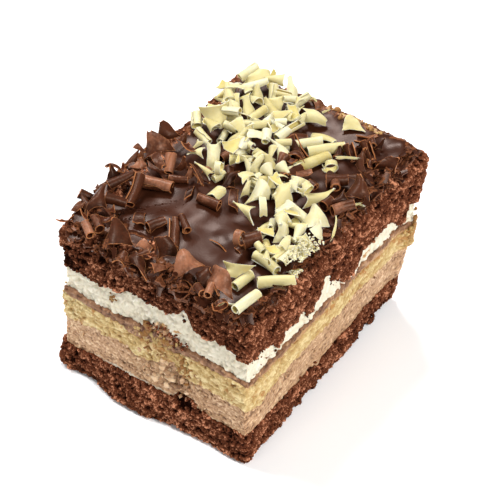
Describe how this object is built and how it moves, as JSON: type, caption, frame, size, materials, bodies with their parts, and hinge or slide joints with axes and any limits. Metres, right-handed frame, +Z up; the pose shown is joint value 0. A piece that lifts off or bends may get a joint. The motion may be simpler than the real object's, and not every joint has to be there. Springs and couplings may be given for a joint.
{
  "type": "nut cake portion",
  "caption": "Upright rectangular portion of layered cake with cocoa sponges, nut cream, yellow sponge, white cream, dark glaze and loose chocolate shavings on top.",
  "frame": {"origin": "middle of the bounding box at its lowest level, on the surface that the cake stands on", "axes": "+Z up, +X along the longer cut side, -Y towards the front cut side"},
  "size_m": [0.0951, 0.072, 0.0659],
  "materials": {
    "cocoa_sponge": "matte",
    "nut_cream": "matte",
    "yellow_sponge": "matte",
    "cocoa_cream": "matte",
    "white_cream": "satin",
    "glaze": "gloss",
    "white_chocolate": "satin",
    "milk_chocolate": "satin"
  },
  "bodies": {
    "root": {"base_sponge": "cocoa_sponge", "nut_cream": "nut_cream", "yellow_sponge": "yellow_sponge", "cocoa_cream": "cocoa_cream", "white_cream": "white_cream", "top_sponge": "cocoa_sponge", "glaze": "glaze", "white_shavings": "white_chocolate", "milk_shavings_left": "milk_chocolate", "milk_shavings_back": "milk_chocolate", "milk_shavings_right": "milk_chocolate"}
  },
  "joints": []
}
